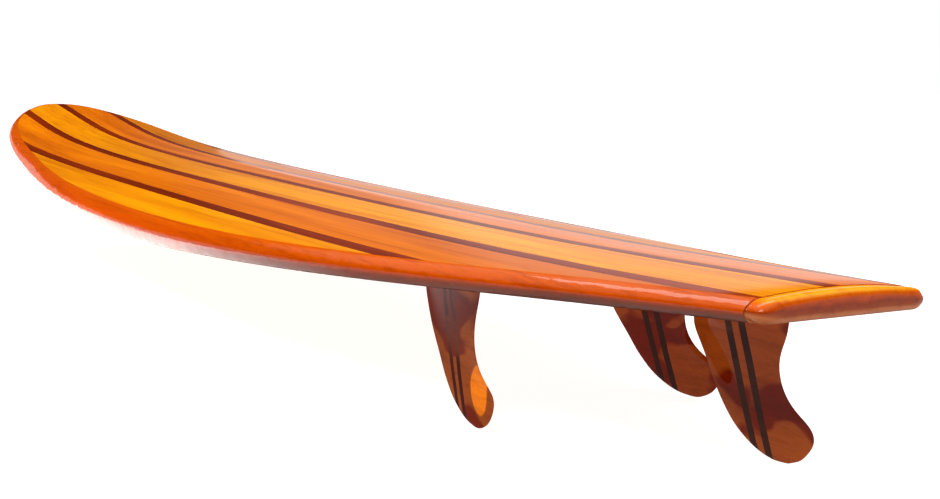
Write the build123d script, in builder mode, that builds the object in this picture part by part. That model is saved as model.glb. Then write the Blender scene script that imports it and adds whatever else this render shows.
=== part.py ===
from build123d import *
import math
import os

os.makedirs("parts", exist_ok=True)

# Surfboard, 7 ft, hollow wooden construction with three removable fins.
# X runs from tail to nose, Y to the rider's left, Z up. Millimetres.
# The origin is under the middle of the board, level with the lowest fin tips.

LENGTH = 2134.0
X_SHIFT = -LENGTH / 2
Z_SHIFT = 143.86

# Shape stations from tail to nose: distance from the tail, half width,
# height of the deck centre line and height of the bottom.
STATIONS = [
    (0.0, 96.0, 33.0, 9.8),
    (60.0, 106.0, 30.8, 5.8),
    (130.0, 120.7, 28.2, 0.8),
    (220.0, 143.0, 25.2, -5.4),
    (340.0, 175.3, 22.1, -13.2),
    (500.0, 214.4, 19.8, -23.2),
    (700.0, 246.6, 18.5, -34.0),
    (920.0, 261.4, 18.5, -43.2),
    (1140.0, 259.3, 19.4, -47.2),
    (1360.0, 242.9, 21.2, -45.8),
    (1560.0, 215.9, 25.4, -38.4),
    (1730.0, 190.2, 33.0, -24.4),
    (1860.0, 168.5, 44.4, -6.6),
    (1960.0, 143.0, 57.2, 13.8),
    (2030.0, 112.0, 67.2, 31.8),
    (2080.0, 80.5, 74.2, 45.6),
    (2112.0, 50.8, 77.6, 53.6),
    (2128.0, 27.5, 76.0, 58.5),
    (2133.6, 7.0, 72.0, 65.0),
]
CROWN_RADIUS = 1345.0
SHOULDER_DROP = 2.0
SHOULDER_WIDTH = 65.0

# Where each rail is cut across: inner and outer corner, seen from above.
RAIL_CUTS = [
    (20.0, 84.8, 20.0, 99.2),
    (133.2, 106.4, 130.0, 121.1),
    (343.6, 160.7, 340.0, 175.3),
    (503.0, 199.7, 500.0, 214.4),
    (701.7, 231.8, 700.0, 246.7),
    (920.4, 246.4, 920.0, 261.4),
    (1139.4, 244.3, 1140.0, 259.3),
    (1358.4, 228.0, 1360.0, 242.9),
    (1557.9, 201.1, 1560.0, 215.9),
    (1727.6, 175.4, 1730.0, 190.2),
    (1856.9, 153.8, 1860.0, 168.5),
    (1955.2, 128.8, 1960.0, 143.0),
    (2022.9, 98.8, 2030.0, 112.0),
    (2070.3, 69.0, 2080.0, 80.5),
    (2099.6, 42.2, 2112.0, 50.8),
    (2114.0, 22.0, 2128.0, 27.5),
    (2118.4, 0.0, 2133.8, 0.0),
]
CORE_GAP = 0.3

SKIN = 6.0
TAIL_BLOCK = 20.0
# Distance from the tail and how far the rounded tail face is drawn in there.
TAIL_ROUND = [(0.0, 6.2), (0.3, 5.0), (1.2, 3.1), (3.5, 0.95), (7.0, 0.0), (19.9, 0.0)]
STRIPE_PITCH = 88.25
STRIPE = 18.0

SPAR_THICK = 8.0
SPAR_START = 217.0
NOSE_BLOCK_START = 2020.0
RIB_THICK = 6.0
RIB_X = [500.0, 920.0, 1360.0, 1730.0]
GLUE = 0.3

# Fin sections from the root down: height, front edge, back edge, thickness.
FIN_SECTIONS = [
    (-0.4, 61.3, -64.4, 8.5),
    (-20.0, 54.2, -57.0, 8.2),
    (-40.0, 45.5, -50.0, 7.8),
    (-60.0, 34.0, -50.4, 7.2),
    (-75.0, 26.0, -58.0, 6.8),
    (-87.0, 18.4, -70.8, 6.3),
    (-98.0, 10.0, -85.2, 5.8),
    (-107.0, 1.6, -88.4, 5.2),
    (-115.0, -8.4, -85.0, 4.7),
    (-122.0, -19.8, -79.0, 4.1),
    (-127.0, -31.0, -72.0, 3.6),
    (-130.6, -45.0, -62.0, 3.0),
]
# The side fins are raked back more and sit a little deeper.
SIDE_FIN_SECTIONS = [
    (-0.4, 63.8, -62.6, 8.5),
    (-15.1, 63.4, -59.0, 8.4),
    (-34.1, 54.6, -53.4, 8.0),
    (-53.3, 42.6, -53.2, 7.5),
    (-72.2, 27.6, -62.0, 6.9),
    (-86.0, 17.0, -79.0, 6.4),
    (-97.0, 7.6, -96.6, 5.8),
    (-106.8, -2.4, -99.6, 5.2),
    (-114.6, -12.4, -96.6, 4.6),
    (-121.2, -23.6, -91.8, 4.0),
    (-126.6, -35.6, -84.8, 3.5),
    (-130.0, -47.2, -77.4, 3.2),
    (-131.8, -61.0, -71.2, 2.9),
]
FIN_STRIPE_X = 5.3
FIN_STRIPE_LEAN = 16.6
FIN_LAYERS = [
    ("rear", -200.0, -11.8),
    ("stripe_rear", -11.8, -3.8),
    ("middle", -3.8, 3.8),
    ("stripe_front", 3.8, 11.8),
    ("front", 11.8, 200.0),
]
TAB_BACK = -52.0
TAB_FRONT = 57.0
TAB_THICK = 6.0
TAB_DEPTH = 12.5
EAR_FRONT = 76.0
EAR_LOW = 3.6
EAR_HIGH = 8.4

BOX_BACK = -66.0
BOX_FRONT = 88.0
BOX_WIDTH = 20.0
BOX_DEPTH = 16.0
BLOCK_LENGTH = 162.0
BLOCK_WIDTH = 30.0
BLOCK_MID = 11.9
BLOCK_HEIGHT = 9.0
BOTTOM_STRIPE_START = 211.0
NOSE_BLOCK_WIDTH = 96.0
NOSE_BLOCK_END = 2068.0
SPAR_HOLE = 10.0
RIB_HOLE = 12.0
SLOT_CLEAR = 0.35
SLOT_DEPTH = 13.5
SCREW_X = 68.0
SCREW_RADIUS = 2.0
SCREW_HEAD_RADIUS = 3.0
SCREW_HEAD_LOW = 0.7
SCREW_TOP = 13.0
NUT_LOW = 9.2
NUT_HIGH = 12.4
NUT_LENGTH = 12.0
NUT_WIDTH = 10.0

FINS = [
    ("left", (385.0, 126.0, -16.1, 3.55, -9.0, 1.0)),
    ("right", (385.0, -126.0, -16.1, 3.55, 9.0, -1.0)),
    ("centre", (122.0, 0.0, 1.3, 4.0, 0.0, 0.0)),
]

VENT_X = 1500.0
VENT_Y = -44.0
VENT_RADIUS = 7.0
VENT_DEPTH = 15.0
VENT_SEAT_RADIUS = 5.4
VENT_SEAT_DEPTH = 3.6
VENT_BORE = 3.2
PLUG_HEAD_RADIUS = 5.0
PLUG_HEAD = 2.2
PLUG_RADIUS = 3.12
PLUG_LENGTH = 12.0
SEAL_RADIUS = 4.1
SEAL_THICK = 1.2


def place(x, y=0.0, z=0.0):
    return Pos(x + X_SHIFT, y, z + Z_SHIFT)


def fin_frame(spec):
    x, y, z, pitch, toe, cant = spec
    return place(x, y, z) * Rot(0, 0, toe) * Rot(0, pitch, 0) * Rot(cant, 0, 0)


def fin_plane(spec, height):
    return Plane(fin_frame(spec) * Pos(0, 0, height))


def deck_drop(y):
    """How far the crowned deck lies below its centre line at a distance y from it."""
    shoulder = SHOULDER_DROP * (1 - math.exp(-((y / SHOULDER_WIDTH) ** 2)))
    return CROWN_RADIUS - math.sqrt(CROWN_RADIUS ** 2 - y ** 2) + shoulder


def strip_drop(y):
    """The same for the flat strips, which run straight from edge to edge."""
    high = min(edge for edge in limits if edge >= abs(y))
    low = max(edge for edge in limits if edge < abs(y))
    share = (abs(y) - low) / (high - low)
    return (1 - share) * deck_drop(low) + share * deck_drop(high)


def level(x, column):
    """Smooth height of the deck (2) or bottom (3) line, or half width (1)."""
    last = len(STATIONS) - 1
    index = max(i for i in range(last) if STATIONS[i][0] <= x)
    rows = [STATIONS[min(max(index + k, 0), last)] for k in (-1, 0, 1, 2)]
    span = rows[2][0] - rows[1][0]
    share = (x - rows[1][0]) / span
    rise = [
        (rows[k + 1][column] - rows[k - 1][column]) / (rows[k + 1][0] - rows[k - 1][0]) * span
        for k in (1, 2)
    ]
    return (
        (2 * share ** 3 - 3 * share ** 2 + 1) * rows[1][column]
        + (share ** 3 - 2 * share ** 2 + share) * rise[0]
        + (3 * share ** 2 - 2 * share ** 3) * rows[2][column]
        + (share ** 3 - share ** 2) * rise[1]
    )


def mid_height(x):
    return (level(x, 2) + level(x, 3)) / 2


def rail_curve(seam_z, bottom_z, width):
    """Outer rail profile from the deck seam to the bottom, out from the seam."""
    height = seam_z - bottom_z
    return [
        (0.0, seam_z),
        (0.73 * width, bottom_z + 0.76 * height),
        (width, bottom_z + 0.45 * height),
        (0.66 * width, bottom_z + 0.10 * height),
        (0.0, bottom_z),
    ]


def upright(y, rise):
    return Plane(origin=(X_SHIFT, y, Z_SHIFT + rise), x_dir=(1, 0, 0), z_dir=(0, -1, 0))


def slab_x(x_low, x_high):
    with Locations(place((x_low + x_high) / 2)):
        Box(x_high - x_low, 700, 400, mode=Mode.INTERSECT)


LEFT_OUTLINE = [(cut[0], cut[1] - CORE_GAP) for cut in RAIL_CUTS[:-1]]
NOSE_POINT = (RAIL_CUTS[-1][0] - CORE_GAP, 0.0)

# Everything inside the rails and in front of the tail block.
with BuildPart() as core_form:
    with BuildSketch(Plane(origin=(X_SHIFT, 0, Z_SHIFT - 60))):
        with BuildLine():
            Spline(LEFT_OUTLINE + [NOSE_POINT] + [(x, -y) for x, y in LEFT_OUTLINE[::-1]])
            Line((LEFT_OUTLINE[0][0], -LEFT_OUTLINE[0][1]), LEFT_OUTLINE[0])
        make_face()
    extrude(amount=200)

# Strips of the deck and bottom skins, numbered from the right rail to the left.
edges = [STRIPE_PITCH * k + STRIPE / 2 * side for k in range(-2, 3) for side in (-1, 1)]
limits = [-252.0] + edges + [252.0]
deck_line = [(s[0], s[2]) for s in STATIONS]
bottom_line = [(s[0], s[3]) for s in STATIONS]
for index in range(11):
    kind = "stripe" if index % 2 else "plank"
    name = f"{kind}_{index // 2 + 1}"
    low, high = limits[index], limits[index + 1]
    fall = deck_drop(low) - deck_drop(high)
    with BuildPart() as deck_strip:
        with BuildSketch(upright(low, -deck_drop(low))):
            with BuildLine():
                Spline(deck_line)
                Line(deck_line[-1], (deck_line[-1][0], deck_line[-1][1] - SKIN))
                Spline([(x, z - SKIN) for x, z in deck_line[::-1]])
                Line((0.0, deck_line[0][1] - SKIN), deck_line[0])
            make_face()
        extrude(amount=math.hypot(high - low, fall), dir=(0, high - low, fall))
        add(core_form.part, mode=Mode.INTERSECT)
    deck_strip.part.label = f"deck_{name}"
    export_step(deck_strip.part, f"parts/deck_{name}.step")
    with BuildPart() as bottom_strip:
        with BuildSketch(upright(low, 0)):
            with BuildLine():
                Spline(bottom_line)
                Line(bottom_line[-1], (bottom_line[-1][0], bottom_line[-1][1] + SKIN))
                Spline([(x, z + SKIN) for x, z in bottom_line[::-1]])
                Line((0.0, bottom_line[0][1] + SKIN), bottom_line[0])
            make_face()
        extrude(amount=high - low, dir=(0, 1, 0))
        add(core_form.part, mode=Mode.INTERSECT)
        for side, spec in FINS:
            if low - 30 < spec[1] < high + 30:
                with BuildSketch(fin_plane(spec, -20)):
                    with Locations(((BOX_BACK + BOX_FRONT) / 2, 0)):
                        SlotOverall(BOX_FRONT - BOX_BACK, BOX_WIDTH)
                extrude(amount=40, mode=Mode.SUBTRACT)
        if low < VENT_Y < high:
            with Locations(place(VENT_X, VENT_Y)):
                Cylinder(VENT_RADIUS, 400, mode=Mode.SUBTRACT)
        if index == 5:
            slab_x(BOTTOM_STRIPE_START, LENGTH)
    bottom_strip.part.label = f"bottom_{name}"
    export_step(bottom_strip.part, f"parts/bottom_{name}.step")

with BuildPart() as bottom_tail_piece:
    with BuildSketch(upright(limits[5], 0)):
        with BuildLine():
            Spline(bottom_line[:3])
            Line(bottom_line[2], (bottom_line[2][0], bottom_line[2][1] + SKIN))
            Spline([(x, z + SKIN) for x, z in bottom_line[2::-1]])
            Line((0.0, bottom_line[0][1] + SKIN), bottom_line[0])
        make_face()
    extrude(amount=STRIPE, dir=(0, 1, 0))
    slab_x(TAIL_BLOCK, FINS[2][1][0] + BOX_BACK - 0.3)
bottom_tail_piece.part.label = "bottom_tail_piece"
export_step(bottom_tail_piece.part, "parts/bottom_tail_piece.step")

for side, sign in (("left", 1), ("right", -1)):
    with BuildPart() as rail:
        for inner_x, inner_y, outer_x, outer_y in RAIL_CUTS:
            width = math.hypot(outer_x - inner_x, outer_y - inner_y)
            seam_z = level(inner_x, 2) - deck_drop(inner_y)
            profile = rail_curve(seam_z, level(inner_x, 3), width)
            across = Plane(
                origin=(inner_x + X_SHIFT, sign * inner_y, Z_SHIFT),
                x_dir=(outer_x - inner_x, sign * (outer_y - inner_y), 0),
                z_dir=(sign * (outer_y - inner_y), inner_x - outer_x, 0),
            )
            with BuildSketch(across):
                with BuildLine():
                    Spline(profile, tangents=[(1, -0.2), (-1, 0)])
                    Line(profile[-1], profile[0])
                make_face()
        loft()
    rail.part.label = f"rail_{side}"
    export_step(rail.part, f"parts/rail_{side}.step")

with BuildPart() as tail_block:
    for x, inset in TAIL_ROUND:
        half = RAIL_CUTS[0][3] - 3.2 * (1 - x / TAIL_BLOCK) - 1.8 * inset
        seam = half - 14.4
        curve = rail_curve(level(x, 2) - deck_drop(seam) - inset, level(x, 3) + inset, 14.4)
        left = [(seam + y, z) for y, z in curve]
        right = [(-y, z) for y, z in left[::-1]]
        across = Plane(origin=(x + X_SHIFT, 0, Z_SHIFT), x_dir=(0, 1, 0), z_dir=(1, 0, 0))
        with BuildSketch(across):
            with BuildLine():
                ThreePointArc(right[-1], (0, level(x, 2) - inset), left[0])
                Spline(left, tangents=[(1, -0.2), (-1, 0)])
                Line(left[-1], right[0])
                Spline(right, tangents=[(-1, 0), (1, 0.2)])
            make_face()
    loft()
tail_block.part.label = "tail_block"
export_step(tail_block.part, "parts/tail_block.step")

inside_top = [(x, z - SKIN - GLUE) for x, z in deck_line[:-1]]
inside_base = [(x, z + SKIN + GLUE) for x, z in bottom_line[:-1]]

with BuildPart() as nose_block:
    nose_fall = strip_drop(NOSE_BLOCK_WIDTH / 2) + GLUE
    block_top = [(x, z - nose_fall) for x, z in inside_top]
    with BuildSketch(upright(-NOSE_BLOCK_WIDTH / 2, 0)):
        with BuildLine():
            Spline(block_top)
            Line(block_top[-1], inside_base[-1])
            Spline(inside_base[::-1])
            Line(inside_base[0], block_top[0])
        make_face()
    extrude(amount=NOSE_BLOCK_WIDTH, dir=(0, 1, 0))
    slab_x(NOSE_BLOCK_START, NOSE_BLOCK_END)
nose_block.part.label = "nose_block"
export_step(nose_block.part, "parts/nose_block.step")

# The spar is slotted from below and the ribs from above, so that they lock.
with BuildPart() as spar:
    with BuildSketch(upright(-SPAR_THICK / 2, -0.1)):
        with BuildLine():
            Spline(inside_top)
            Line(inside_top[-1], inside_base[-1])
            Spline([(x, z + 0.2) for x, z in inside_base[::-1]])
            Line(inside_base[0], inside_top[0])
        make_face()
    extrude(amount=SPAR_THICK, dir=(0, 1, 0))
    slab_x(SPAR_START, NOSE_BLOCK_START - 0.1)
    for x in RIB_X:
        with Locations(place(x, 0, mid_height(x) - 100)):
            Box(RIB_THICK + 0.2, 20, 200, mode=Mode.SUBTRACT)
    for x in RIB_X[:-1]:
        with Locations(place(x + 210, 0, mid_height(x + 210)) * Rot(90, 0, 0)):
            Cylinder(SPAR_HOLE, 20, mode=Mode.SUBTRACT)
spar.part.label = "spar"
export_step(spar.part, "parts/spar.step")

for number, x in enumerate(RIB_X, 1):
    reach = level(x, 1) - 16.5
    base_z = level(x, 3) + SKIN + GLUE
    top_z = level(x, 2) - SKIN - 3 * GLUE
    crown = [-reach] + [y for y in edges if abs(y) < reach] + [reach]
    with BuildPart() as rib:
        with BuildSketch(Plane(origin=(x - RIB_THICK / 2 + X_SHIFT, 0, Z_SHIFT), x_dir=(0, 1, 0),
                               z_dir=(1, 0, 0))):
            with BuildLine():
                Polyline(
                    [(y, top_z - strip_drop(y)) for y in crown]
                    + [(reach, base_z), (-reach, base_z), (-reach, top_z - strip_drop(reach))]
                )
            make_face()
            with Locations((0, mid_height(x) + 50)):
                Rectangle(SPAR_THICK + 0.2, 100, mode=Mode.SUBTRACT)
            with Locations((-reach / 2, mid_height(x) - 3), (reach / 2, mid_height(x) - 3)):
                SlotOverall(0.5 * reach, RIB_HOLE, mode=Mode.SUBTRACT)
        extrude(amount=RIB_THICK)
    rib.part.label = f"rib_{number}"
    export_step(rib.part, f"parts/rib_{number}.step")

for side, spec in FINS:
    with BuildPart() as fin_block:
        with Locations(fin_frame(spec) * Pos((BOX_BACK + BOX_FRONT) / 2, 0, BLOCK_MID)):
            Box(BLOCK_LENGTH, BLOCK_WIDTH, BLOCK_HEIGHT)
        with BuildSketch(fin_plane(spec, -20)):
            with Locations(((BOX_BACK + BOX_FRONT) / 2, 0)):
                SlotOverall(BOX_FRONT - BOX_BACK, BOX_WIDTH)
        extrude(amount=40, mode=Mode.SUBTRACT)
    fin_block.part.label = f"fin_block_{side}"
    export_step(fin_block.part, f"parts/fin_block_{side}.step")

    with BuildPart() as fin_box:
        with BuildSketch(fin_plane(spec, 0)):
            with Locations(((BOX_BACK + BOX_FRONT) / 2, 0)):
                SlotOverall(BOX_FRONT - BOX_BACK - 0.2, BOX_WIDTH - 0.2)
        extrude(amount=BOX_DEPTH)
        slot_back = TAB_BACK - SLOT_CLEAR
        slot_front = EAR_FRONT + 2.0
        with Locations(fin_frame(spec) * Pos((slot_back + slot_front) / 2, 0, 0)):
            Box(
                slot_front - slot_back,
                TAB_THICK + 2 * SLOT_CLEAR,
                2 * SLOT_DEPTH,
                mode=Mode.SUBTRACT,
            )
        with Locations(fin_frame(spec) * Pos(SCREW_X, 0, (NUT_LOW + NUT_HIGH) / 2)):
            Box(NUT_LENGTH, NUT_WIDTH, NUT_HIGH - NUT_LOW, mode=Mode.SUBTRACT)
    fin_box.part.label = f"fin_box_{side}"
    export_step(fin_box.part, f"parts/fin_box_{side}.step")

    with BuildPart() as fin_screw:
        with BuildSketch(fin_plane(spec, SCREW_HEAD_LOW)):
            with Locations((SCREW_X, 0)):
                Circle(SCREW_HEAD_RADIUS)
        extrude(amount=EAR_LOW - SCREW_HEAD_LOW - 0.05)
        with BuildSketch(fin_plane(spec, SCREW_HEAD_LOW + 1.0)):
            with Locations((SCREW_X, 0)):
                Circle(SCREW_RADIUS)
        extrude(amount=SCREW_TOP - SCREW_HEAD_LOW - 1.0)
        with Locations(fin_frame(spec) * Pos(SCREW_X, 0, SCREW_HEAD_LOW)):
            Box(0.9, 2 * SCREW_HEAD_RADIUS + 1, 2.4, mode=Mode.SUBTRACT)
    fin_screw.part.label = f"fin_screw_{side}"
    export_step(fin_screw.part, f"parts/fin_screw_{side}.step")

    # The whole fin: a foiled blade, a tab for the box and an ear for the screw.
    with BuildPart() as fin_form:
        sections = FIN_SECTIONS if side == "centre" else SIDE_FIN_SECTIONS
        for height, front, back, thick in sections:
            lead = 0.16 * thick
            trail = 0.5
            belly = (front * 0.58 + back * 0.42, thick / 2)
            with BuildSketch(fin_plane(spec, height)):
                with BuildLine():
                    ThreePointArc((front, lead), belly, (back, trail))
                    Line((back, trail), (back, -trail))
                    ThreePointArc((back, -trail), (belly[0], -belly[1]), (front, -lead))
                    Line((front, -lead), (front, lead))
                make_face()
        loft()
        tab_middle = (TAB_BACK + TAB_FRONT) / 2
        with Locations(fin_frame(spec) * Pos(tab_middle, 0, TAB_DEPTH / 2 - 0.5)):
            Box(TAB_FRONT - TAB_BACK, TAB_THICK, TAB_DEPTH + 1)
        with Locations(
            fin_frame(spec) * Pos((TAB_FRONT + EAR_FRONT) / 2, 0, (EAR_LOW + EAR_HIGH) / 2)
        ):
            Box(EAR_FRONT - TAB_FRONT, TAB_THICK, EAR_HIGH - EAR_LOW)
        with Locations(fin_frame(spec) * Pos(SCREW_X, 0, 6)):
            Cylinder(SCREW_RADIUS + 0.08, 12, mode=Mode.SUBTRACT)
    for layer, low, high in FIN_LAYERS:
        with BuildPart() as fin_layer:
            add(fin_form.part)
            with Locations(
                fin_frame(spec)
                * Pos(FIN_STRIPE_X, 0, 0)
                * Rot(0, FIN_STRIPE_LEAN, 0)
                * Pos((low + high) / 2, 0, 0)
            ):
                Box(high - low, 60, 500, mode=Mode.INTERSECT)
        fin_layer.part.label = f"fin_{side}_{layer}"
        export_step(fin_layer.part, f"parts/fin_{side}_{layer}.step")

with BuildPart() as fin_nuts:
    for side, spec in FINS:
        with Locations(fin_frame(spec) * Pos(SCREW_X, 0, (NUT_LOW + NUT_HIGH) / 2)):
            Box(NUT_LENGTH, NUT_WIDTH, NUT_HIGH - NUT_LOW)
            Cylinder(SCREW_RADIUS + 0.08, 20, mode=Mode.SUBTRACT)
fin_nuts.part.label = "fin_nuts"
export_step(fin_nuts.part, "parts/fin_nuts.step")

vent_place = place(VENT_X, VENT_Y, level(VENT_X, 3)) * Rot(180, 0, 0)

with BuildPart() as vent_insert:
    with Locations(vent_place * Pos(0, 0, -VENT_DEPTH / 2)):
        Cylinder(VENT_RADIUS, VENT_DEPTH)
        Cylinder(VENT_BORE, 40, mode=Mode.SUBTRACT)
    with Locations(vent_place):
        Cylinder(VENT_SEAT_RADIUS, 2 * VENT_SEAT_DEPTH, mode=Mode.SUBTRACT)
vent_insert.part.label = "vent_insert"
export_step(vent_insert.part, "parts/vent_insert.step")

with BuildPart() as vent_plug:
    with Locations(vent_place * Pos(0, 0, -PLUG_HEAD / 2)):
        Cylinder(PLUG_HEAD_RADIUS, PLUG_HEAD)
    with Locations(vent_place * Pos(0, 0, -PLUG_LENGTH / 2)):
        Cylinder(PLUG_RADIUS, PLUG_LENGTH)
    with Locations(vent_place):
        Box(1.2, 7.5, 2.0, mode=Mode.SUBTRACT)
vent_plug.part.label = "vent_plug"
export_step(vent_plug.part, "parts/vent_plug.step")

with BuildPart() as vent_seal:
    seal_height = -(PLUG_HEAD + VENT_SEAT_DEPTH) / 2
    with BuildSketch(Plane(vent_place * Pos(0, 0, seal_height) * Rot(90, 0, 0))):
        with Locations((SEAL_RADIUS, 0)):
            Circle(SEAL_THICK / 2)
    revolve(axis=Axis((VENT_X + X_SHIFT, VENT_Y, 0), (0, 0, 1)))
vent_seal.part.label = "vent_seal"
export_step(vent_seal.part, "parts/vent_seal.step")
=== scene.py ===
import math
import bpy
from mathutils import Matrix, Vector


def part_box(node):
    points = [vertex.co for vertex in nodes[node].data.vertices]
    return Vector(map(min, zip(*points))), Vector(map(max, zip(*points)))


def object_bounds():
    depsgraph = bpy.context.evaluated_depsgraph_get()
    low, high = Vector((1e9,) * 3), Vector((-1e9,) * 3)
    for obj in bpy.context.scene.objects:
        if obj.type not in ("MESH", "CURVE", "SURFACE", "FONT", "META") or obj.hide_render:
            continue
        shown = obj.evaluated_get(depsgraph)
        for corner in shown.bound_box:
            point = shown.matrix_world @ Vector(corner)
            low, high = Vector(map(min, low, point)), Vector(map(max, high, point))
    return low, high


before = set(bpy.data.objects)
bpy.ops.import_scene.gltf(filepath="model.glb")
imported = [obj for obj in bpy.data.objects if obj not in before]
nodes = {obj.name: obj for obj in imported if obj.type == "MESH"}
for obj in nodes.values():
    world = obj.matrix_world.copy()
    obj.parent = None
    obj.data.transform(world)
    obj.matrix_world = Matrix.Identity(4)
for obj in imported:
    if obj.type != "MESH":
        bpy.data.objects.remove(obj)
cad_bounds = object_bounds()
scene = bpy.context.scene
board_low = Vector(cad_bounds[0])
tail_low, tail_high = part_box("tail_block")
near_fin_low, near_fin_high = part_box("fin_left_rear")

# The viewpoint: metres, unit directions and a lens in millimetres.
CAMERA_PLACE = Vector((-1.7498, 0.8277, 0.34066))
CAMERA_FORWARD = Vector((0.82094, -0.55369, -0.13959))
CAMERA_RIGHT = Vector((-0.55374, -0.83163, 0.04205))
CAMERA_LENS = 50.27
SENSOR_WIDTH = 36.0

# Woods as the low, middle and high tone of their grain.
LIGHT_PLANK = ("CA7000", "DE8600", "EA9800")
DEEP_PLANK = ("BE5A00", "D26A00", "E07C00")
# The far planks' copies are darker: painted shade.
LIGHT_PLANK_SHADED = ("AA5A00", "BA6800", "C87600")
DEEP_PLANK_SHADED = ("9C4A00", "AC5600", "BA6400")
STRIPE = ("5E1800", "7A2400", "8E3000")
FRAME_WOOD = ("A8814C", "C49B63", "D6B27C")
PLANK_COAT = 0.5
PLANK_COAT_FAR = 0.32
PLANKS = 6
SHADED_FAR_PLANKS = 2
STRIPES = 5

# Edge woods from the underside (0) to the top (1). On the rails the darkening towards the underside is
# partly a sunburst stain and partly painted shade; on the tail block the pale foot and the dark band
# across the face are painted reflections.
RAIL_STAIN_AND_SHADE = [(0.08, "4A1A06"), (0.32, "7A2C06"), (0.50, "A43800"), (0.70, "B44200"), (0.93, "C25002")]
TAIL_TONE_AND_REFLECTION = [
    (0.10, "8A4414"), (0.26, "A85A28"), (0.36, "92400E"), (0.50, "862C00"), (0.62, "B84404"),
    (0.78, "D25C04"), (0.93, "EC9A08")]

# Fin woods as the tone of their dark and of their light patches; the dark patches are painted reflections
# laid out at random.
FIN = ("661802", "8A3E12")
# The near fin's copies are lighter, its stripes most: painted sheen.
FIN_NEAR_SHEEN = ("6A1C04", "8A4014")
FIN_STRIPE = ("260A02", "34160A")
FIN_STRIPE_NEAR_SHEEN = ("3E1004", "5A260C")
FIN_GRAIN = (0, math.radians(-73), 0)
FIN_COAT = 0.18
FIN_COAT_NEAR = 0.07

# A pale streak at the near fin's tip, placed from the box of that fin's rear layer.
STREAK_TONE = "E0740E"
STREAK_PLACE = (near_fin_low.x + 0.0296, near_fin_high.y - 0.0044, near_fin_low.z + 0.0369)
STREAK_TILT = (0, math.radians(21), 0)
STREAK_RADII = (0.0165, 0.05, 0.025)

# The deck's shading: its crown, and how far it leans back over the last stretch before the tail.
DECK_CROWN_RADIUS = 1.345
TAIL_LEAN = -0.20
TAIL_LEAN_LENGTH = 0.072

FLOOR_SIZE = 60.0
FLOOR_GAP = 0.002
FLOOR_GLOW = 7.2
FLOOR_DIM = 0.13
WHITE = (1.0, 1.0, 1.0, 1.0)


def srgb(code):
    """Linear colour from a hex code."""
    out = []
    for k in (0, 2, 4):
        v = int(code[k:k + 2], 16) / 255
        out.append(v / 12.92 if v <= 0.04045 else ((v + 0.055) / 1.055) ** 2.4)
    return (*out, 1.0)


def grey(stops):
    """Ramp stops of plain grey."""
    return [(place, (value, value, value, 1)) for place, value in stops]


def tones(stops):
    """Ramp stops of hex colours."""
    return [(place, srgb(code)) for place, code in stops]


class Tree:
    """A shader node tree, built a node at a time."""

    def __init__(self, tree):
        self.tree = tree

    def node(self, kind, **values):
        n = self.tree.nodes.new(kind)
        for key, value in values.items():
            setattr(n, key, value)
        return n

    def link(self, a, b):
        self.tree.links.new(a, b)

    def fill(self, n, values):
        """Feeds inputs of a node, each from a link or a plain value."""
        for socket, value in values.items():
            if hasattr(value, "links"):
                self.link(value, n.inputs[socket])
            else:
                n.inputs[socket].default_value = value

    def ramp(self, value, stops):
        n = self.node("ShaderNodeValToRGB")
        while len(n.color_ramp.elements) < len(stops):
            n.color_ramp.elements.new(0.5)
        for element, (place, colour) in zip(n.color_ramp.elements, stops):
            element.position = place
            element.color = colour
        self.link(value, n.inputs["Fac"])
        return n.outputs["Color"]

    def mix(self, a, b, factor, mode="MIX"):
        n = self.node("ShaderNodeMix", data_type="RGBA", blend_type=mode)
        self.fill(n, {0: factor, 6: a, 7: b})
        return n.outputs[2]

    def calc(self, op, a, b=0.0, c=0.0, clamp=False):
        n = self.node("ShaderNodeMath", operation=op, use_clamp=clamp)
        self.fill(n, {0: a, 1: b, 2: c})
        return n.outputs[0]

    def split(self, vector):
        """The x, y and z of a vector."""
        n = self.node("ShaderNodeSeparateXYZ")
        self.link(vector, n.inputs[0])
        return n.outputs[0], n.outputs[1], n.outputs[2]


class Shader(Tree):
    """A material with one Principled surface."""

    def __init__(self, name):
        self.mat = bpy.data.materials.new(name)
        self.mat.use_nodes = True
        super().__init__(self.mat.node_tree)
        self.tree.nodes.clear()
        out = self.node("ShaderNodeOutputMaterial")
        self.bsdf = self.node("ShaderNodeBsdfPrincipled")
        self.link(self.bsdf.outputs["BSDF"], out.inputs["Surface"])

    def place(self):
        """The shaded point's own coordinates."""
        return self.node("ShaderNodeTexCoord").outputs["Object"]

    def facing(self):
        """The surface's direction."""
        return self.node("ShaderNodeNewGeometry").outputs["Normal"]

    def coords(self, scale, rot=(0, 0, 0), offset=(0, 0, 0), kind="POINT"):
        n = self.node("ShaderNodeMapping", vector_type=kind)
        self.fill(n, {"Scale": scale, "Rotation": rot, "Location": offset, "Vector": self.place()})
        return n.outputs["Vector"]

    def noise(self, vector, detail, rough, distortion=0.0):
        n = self.node("ShaderNodeTexNoise")
        self.fill(n, {"Vector": vector, "Scale": 1.0, "Detail": detail})
        self.fill(n, {"Roughness": rough, "Distortion": distortion})
        return n.outputs["Fac"]

    def bump(self, height, strength, distance, normal=None):
        n = self.node("ShaderNodeBump")
        self.fill(n, {"Strength": strength, "Distance": distance, "Height": height})
        if normal is not None:
            self.link(normal, n.inputs["Normal"])
        return n.outputs["Normal"]


def grain(s, seed, rot=(0, 0, 0), tight=1.0):
    """Three scales of figure along the wood: broad bands, growth lines and pores."""
    broad = s.noise(s.coords((1.6, 26 * tight, 22), rot, (seed * 3.1, seed * 7.7, seed)), 3, 0.5, 0.6)
    lines = s.noise(s.coords((3.2, 190 * tight, 150), rot, (seed * 1.7, seed, seed * 2)), 5, 0.62, 0.4)
    pores = s.noise(s.coords((34, 1500 * tight, 900), rot, (seed, seed * 5, 0)), 2, 0.5)
    return broad, lines, pores


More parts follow.
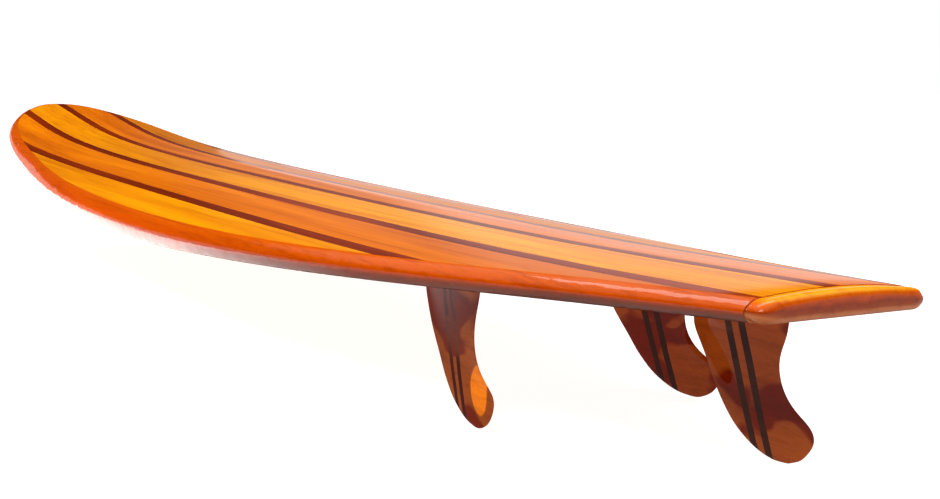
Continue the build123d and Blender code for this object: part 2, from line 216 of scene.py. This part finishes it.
def darken(s, colour, pattern, low, high, shade, amount):
    """Multiplies a colour by a dark shade where a pattern is low."""
    dark = s.ramp(pattern, [(low, shade + (1,)), (high, WHITE)])
    return s.mix(colour, dark, amount, "MULTIPLY")


def gloss(s, coat, rough):
    """Lets a wood shine through its clear coat only."""
    s.fill(s.bsdf, {"Coat Weight": coat, "Coat IOR": 1.5, "Specular IOR Level": 0.0, "Roughness": rough})


def coat_ripple(s, normal=None, amount=0.12):
    """The resin coat's slow waviness and its fine dust."""
    slow = s.noise(s.coords((7, 9, 9)), 2, 0.4)
    s.link(s.bump(slow, amount, 0.0012, normal), s.bsdf.inputs["Coat Normal"])
    dust = s.noise(s.coords((60, 60, 60)), 6, 0.7)
    s.link(s.ramp(dust, grey([(0.35, 0.012), (0.8, 0.05)])), s.bsdf.inputs["Coat Roughness"])


def crown_normal(s):
    """Levels the shading across flat strips, so that they read as one deck that rolls off at the tail."""
    normal_x, _, normal_z = s.split(s.facing())
    x, y, _ = s.split(s.place())
    lean = s.node("ShaderNodeMapRange", interpolation_type="SMOOTHSTEP")
    s.fill(lean, {"From Min": board_low.x, "From Max": board_low.x + TAIL_LEAN_LENGTH})
    s.fill(lean, {"To Min": TAIL_LEAN, "To Max": 0.0, "Value": x})
    join = s.node("ShaderNodeCombineXYZ")
    s.fill(join, {
        0: s.calc("ADD", normal_x, lean.outputs["Result"]),
        1: s.calc("DIVIDE", y, DECK_CROWN_RADIUS),
        2: normal_z})
    unit = s.node("ShaderNodeVectorMath", operation="NORMALIZE")
    s.link(join.outputs[0], unit.inputs[0])
    return unit.outputs[0]


def plank(name, codes, seed, deck, coat=PLANK_COAT):
    """A skin strip: warm wood under the coat, levelled with its neighbours on the deck."""
    s = Shader(name)
    broad, lines, pores = grain(s, seed)
    colour = s.ramp(broad, tones(zip((0.30, 0.52, 0.72), codes)))
    colour = darken(s, colour, lines, 0.36, 0.50, (0.62, 0.50, 0.42), 0.45)
    colour = darken(s, colour, pores, 0.30, 0.48, (0.80, 0.72, 0.66), 0.5)
    s.link(colour, s.bsdf.inputs["Base Color"])
    normal = crown_normal(s) if deck else None
    s.link(s.bump(lines, 0.10, 0.0002, normal), s.bsdf.inputs["Normal"])
    gloss(s, coat, 0.42)
    coat_ripple(s, normal)
    return s.mat


def edge_wood(name, tone_and_painted_light, seed, coat, turn=0.0, rise=None):
    """Edge wood coloured from its underside round to its top, and up a flat face between two heights,
    with painted shade and painted reflections in that colour.
    """
    s = Shader(name)
    broad, lines, pores = grain(s, seed, (0, 0, turn), 0.7)
    _, _, normal_z = s.split(s.facing())
    # How far the face turns up sets its colour: the darker underside is partly stain and partly painted
    # shade.
    level = s.calc("MULTIPLY_ADD", normal_z, 0.5, 0.5)
    # On a flat face, height is mixed in, to paint the studio's reflections up it.
    if rise:
        _, _, z = s.split(s.place())
        height = s.node("ShaderNodeMapRange")
        s.fill(height, {"From Min": rise[0], "From Max": rise[1], "Value": z})
        level = s.mix(level, height.outputs["Result"], 0.5)
    wander = s.calc("MULTIPLY_ADD", broad, 0.16, -0.08)
    colour = s.ramp(s.calc("ADD", level, wander, clamp=True), tones(tone_and_painted_light))
    colour = darken(s, colour, lines, 0.34, 0.52, (0.55, 0.42, 0.36), 0.45)
    colour = darken(s, colour, pores, 0.30, 0.5, (0.75, 0.66, 0.6), 0.45)
    s.link(colour, s.bsdf.inputs["Base Color"])
    s.link(s.bump(lines, 0.08, 0.0002), s.bsdf.inputs["Normal"])
    gloss(s, coat, 0.40)
    # The underside is sanded dull.
    s.link(s.ramp(level, grey([(0.05, 0.0), (0.15, coat)])), s.bsdf.inputs["Coat Weight"])
    coat_ripple(s, amount=0.05)
    return s.mat


def frame_wood(name, codes, seed):
    """Bare softwood of the frame inside."""
    s = Shader(name)
    broad, lines, pores = grain(s, seed)
    colour = s.ramp(broad, tones(zip((0.30, 0.50, 0.72), codes)))
    colour = darken(s, colour, lines, 0.36, 0.54, (0.5, 0.4, 0.34), 0.5)
    colour = darken(s, colour, pores, 0.30, 0.5, (0.7, 0.6, 0.55), 0.55)
    s.link(colour, s.bsdf.inputs["Base Color"])
    s.link(s.bump(lines, 0.10, 0.0002), s.bsdf.inputs["Normal"])
    gloss(s, 0.0, 0.62)
    return s.mat


# Paints a pale oval patch over the near fin's tip.
def pale_tip_patch(s, colour):
    """Lays a pale streak over the wood at the tip of the near fin."""
    reach = s.node("ShaderNodeVectorMath", operation="LENGTH")
    s.link(s.coords(STREAK_RADII, STREAK_TILT, STREAK_PLACE, "TEXTURE"), reach.inputs[0])
    inside = s.ramp(reach.outputs["Value"], grey([(0.90, 1.0), (1.0, 0.0)]))
    return s.mix(colour, srgb(STREAK_TONE), inside)


def fin_wood(name, codes, seed, coat, streak=False):
    """Dark fin wood with broad patches of two tones: the dark patches are painted reflections, laid out
    at random.
    """
    s = Shader(name)
    broad, lines, pores = grain(s, seed, FIN_GRAIN)
    # Random patches of the darker tone are painted reflections.
    reflection_patches = s.noise(s.coords((11, 11, 17), offset=(seed, 0.3, 0.1)), 1.5, 0.4, 0.8)
    colour = s.mix(srgb(codes[0]), srgb(codes[1]), s.ramp(reflection_patches, grey([(0.44, 0.0), (0.49, 1.0)])))
    if streak:
        colour = pale_tip_patch(s, colour)
    colour = s.mix(colour, s.ramp(broad, grey([(0.30, 0.78), (0.70, 1.15)])), 0.7, "MULTIPLY")
    colour = darken(s, colour, lines, 0.36, 0.54, (0.5, 0.4, 0.34), 0.35)
    colour = darken(s, colour, pores, 0.30, 0.5, (0.7, 0.6, 0.55), 0.45)
    s.link(colour, s.bsdf.inputs["Base Color"])
    s.link(s.bump(lines, 0.08, 0.0002), s.bsdf.inputs["Normal"])
    gloss(s, coat, 0.36)
    coat_ripple(s)
    return s.mat


def hard(name, code, metallic, rough_low, rough_high, scale):
    """Moulded plastic, rubber or turned metal, patchy and finely scratched."""
    s = Shader(name)
    fine = s.noise(s.coords((scale,) * 3), 6, 0.65)
    patch = s.noise(s.coords((scale / 9,) * 3), 3, 0.5)
    tint = srgb(code)
    worn = tuple(min(1.0, v * 1.35 + 0.01) for v in tint[:3]) + (1.0,)
    deep = tuple(v * 0.72 for v in tint[:3]) + (1.0,)
    s.link(s.ramp(patch, [(0.32, deep), (0.5, tint), (0.72, worn)]), s.bsdf.inputs["Base Color"])
    s.link(s.ramp(fine, grey([(0.3, rough_low), (0.75, rough_high)])), s.bsdf.inputs["Roughness"])
    s.link(s.bump(fine, 0.2, 0.0002), s.bsdf.inputs["Normal"])
    s.bsdf.inputs["Metallic"].default_value = metallic
    return s.mat


def make_materials():
    """Every finish on the object, by the node or the kind of node that wears it."""
    # The tail block's height span, over which its reflections are painted.
    tail_rise = (tail_low.z, tail_high.z)
    made = {
        "rail": edge_wood("rail_wood", RAIL_STAIN_AND_SHADE, 2.0, 0.45),
        "tail_block": edge_wood("tail_wood", TAIL_TONE_AND_REFLECTION, 3.0, 0.4, math.radians(90), tail_rise),
        "fin": fin_wood("fin_wood", FIN, 5.0, FIN_COAT),
        # The near fin wears lighter copies: painted sheen.
        "fin_near": fin_wood("fin_wood_left_sheen", FIN_NEAR_SHEEN, 5.0, FIN_COAT_NEAR, True),
        "fin_stripe": fin_wood("fin_stripe", FIN_STRIPE, 6.0, FIN_COAT),
        "fin_near_stripe_sheen": fin_wood("fin_stripe_left_sheen", FIN_STRIPE_NEAR_SHEEN, 6.0, FIN_COAT_NEAR),
        "frame": frame_wood("frame_wood", FRAME_WOOD, 7.0),
        "box": hard("box_plastic", "1C1614", 0.0, 0.38, 0.6, 420),
        "steel": hard("screw_steel", "A8A8A6", 1.0, 0.22, 0.42, 600),
        "brass": hard("nut_brass", "B08A48", 1.0, 0.28, 0.5, 600),
        "vent": hard("vent_plastic", "2A1812", 0.0, 0.25, 0.45, 500),
        "vent_seal": hard("vent_rubber", "121212", 0.0, 0.6, 0.85, 800),
    }
    for k in range(1, PLANKS + 1):
        light = k % 2 == 0
        codes = LIGHT_PLANK if light else DEEP_PLANK
        made[f"bottom_plank_{k}"] = plank(f"plank_bottom_{k}", codes, 20.0 + k, False)
        coat = PLANK_COAT
        # The far planks wear darker copies of the same woods: painted shade.
        if k <= SHADED_FAR_PLANKS:
            codes = LIGHT_PLANK_SHADED if light else DEEP_PLANK_SHADED
            coat = PLANK_COAT_FAR
        made[f"deck_plank_{k}"] = plank(f"plank_deck_{k}", codes, 10.0 + k, True, coat)
    for k in range(1, STRIPES + 1):
        made[f"deck_stripe_{k}"] = plank(f"stripe_deck_{k}", STRIPE, 30.0 + k, True)
        made[f"bottom_stripe_{k}"] = plank(f"stripe_bottom_{k}", STRIPE, 40.0 + k, False)
    made["bottom_tail_piece"] = made["bottom_stripe_3"]
    return made


# What the other nodes wear, by the first prefix that fits their name.
WEARS = [
    ("rail", "rail"), ("rib", "frame"), ("spar", "frame"), ("nose_block", "frame"),
    ("fin_block", "frame"), ("fin_box", "box"), ("fin_screw", "steel"), ("fin_nuts", "brass"),
    ("fin_left_stripe", "fin_near_stripe_sheen"), ("fin_left", "fin_near"),
    ("fin_right_stripe", "fin_stripe"), ("fin_centre_stripe", "fin_stripe"),
    ("fin", "fin"), ("vent", "vent")]


def finish_for(name, materials):
    if name in materials:
        return materials[name]
    return materials[next(kind for prefix, kind in WEARS if name.startswith(prefix))]


def dress():
    materials = make_materials()
    for name, thing in nodes.items():
        thing.data.materials.clear()
        thing.data.materials.append(finish_for(name, materials))


def make_floor():
    """A pale, softly glowing floor, brighter in two patches that the glossy rails mirror."""
    s = Shader("floor")
    speck = s.noise(s.coords((3, 3, 3)), 5, 0.6)
    s.link(s.ramp(speck, grey([(0.3, 0.28), (0.7, 0.31)])), s.bsdf.inputs["Base Color"])
    # The ramps run from 0 to 1 while x runs from -1.5 to 3.5 m and y from -2.5 to 2.5 m.
    x, y, _ = s.split(s.coords((0.2, 0.2, 0.2), offset=(0.3, 0.5, 0)))

    def patch(along, across):
        return s.calc("MULTIPLY", s.ramp(x, grey(along)), s.ramp(y, grey(across)))

    ahead = patch(
        [(0.40, 0.0), (0.45, 0.9), (0.80, 0.9), (0.95, 0.0)],
        [(0.34, 0.0), (0.42, 1.0), (0.60, 1.0), (0.68, 0.0)])
    beside = patch(
        [(0.20, 0.0), (0.30, 1.0), (0.46, 1.0), (0.56, 0.0)],
        [(0.53, 0.0), (0.545, 1.0), (0.59, 1.0), (0.61, 0.0)])
    dim = (FLOOR_DIM, FLOOR_DIM, FLOOR_DIM, 1)
    glow = s.mix(dim, WHITE, s.calc("ADD", ahead, beside, clamp=True))
    s.fill(s.bsdf, {"Roughness": 0.9, "Specular IOR Level": 0.1})
    s.fill(s.bsdf, {"Emission Color": glow, "Emission Strength": FLOOR_GLOW})
    bpy.ops.mesh.primitive_plane_add(size=FLOOR_SIZE, location=(0, 0, board_low.z - FLOOR_GAP))
    floor = bpy.context.object
    floor.name = "floor"
    floor.data.materials.append(s.mat)


def make_surround():
    """A white studio, dark at mid height save on the side that the deck's tail half mirrors."""
    world = bpy.data.worlds.new("studio")
    scene.world = world
    world.use_nodes = True
    sky = Tree(world.node_tree)
    x, y, z = sky.split(sky.node("ShaderNodeTexCoord").outputs["Generated"])
    # Both ramps run from the horizon (0) to overhead (1).
    closed = sky.ramp(z, grey([
        (0.0, 1.0), (0.051, 1.0), (0.060, 0.05), (0.20, 0.02), (0.50, 0.02), (0.62, 0.9), (1.0, 1.0)]))
    opened = sky.ramp(z, grey([
        (0.0, 1.0), (0.051, 1.0), (0.10, 0.74), (0.20, 0.60), (0.30, 0.08), (0.50, 0.05), (0.62, 0.9),
        (1.0, 1.0)]))
    side = sky.calc("ADD", sky.calc("MULTIPLY_ADD", x, 0.60, y), 0.5)
    openness = sky.ramp(side, grey([(0.44, 1.0), (0.51, 0.42), (0.66, 0.16), (0.74, 0.0)]))
    # Seen directly rather than mirrored, the studio is plain white.
    direct = sky.node("ShaderNodeLightPath").outputs["Is Camera Ray"]
    shown = sky.mix(sky.mix(closed, opened, openness), WHITE, direct)
    sky.fill(world.node_tree.nodes["Background"], {"Color": shown, "Strength": 1.0})


def softbox(name, place, target, size, power):
    data = bpy.data.lights.new(name, "AREA")
    data.shape = "RECTANGLE"
    data.size, data.size_y = size
    data.energy = power
    lamp = bpy.data.objects.new(name, data)
    scene.collection.objects.link(lamp)
    lamp.location = place
    aim = Vector(target) - Vector(place)
    lamp.rotation_euler = aim.to_track_quat("-Z", "Y").to_euler()


def make_camera():
    data = bpy.data.cameras.new("camera")
    data.sensor_width = SENSOR_WIDTH
    data.lens = CAMERA_LENS
    camera = bpy.data.objects.new("camera", data)
    scene.collection.objects.link(camera)
    forward = CAMERA_FORWARD.normalized()
    right = CAMERA_RIGHT.normalized()
    up = right.cross(forward).normalized()
    turn = Matrix((right, up, -forward)).transposed()
    camera.matrix_world = Matrix.Translation(CAMERA_PLACE) @ turn.to_4x4()
    scene.camera = camera


dress()
make_floor()
make_surround()
softbox("key", (-1.2, 2.2, 2.8), (-0.2, 0, 0.1), (2.2, 1.2), 90)
softbox("top", (0.6, -0.6, 3.2), (0.2, 0, 0.1), (3.0, 1.4), 70)
make_camera()
scene.view_settings.view_transform = "Standard"
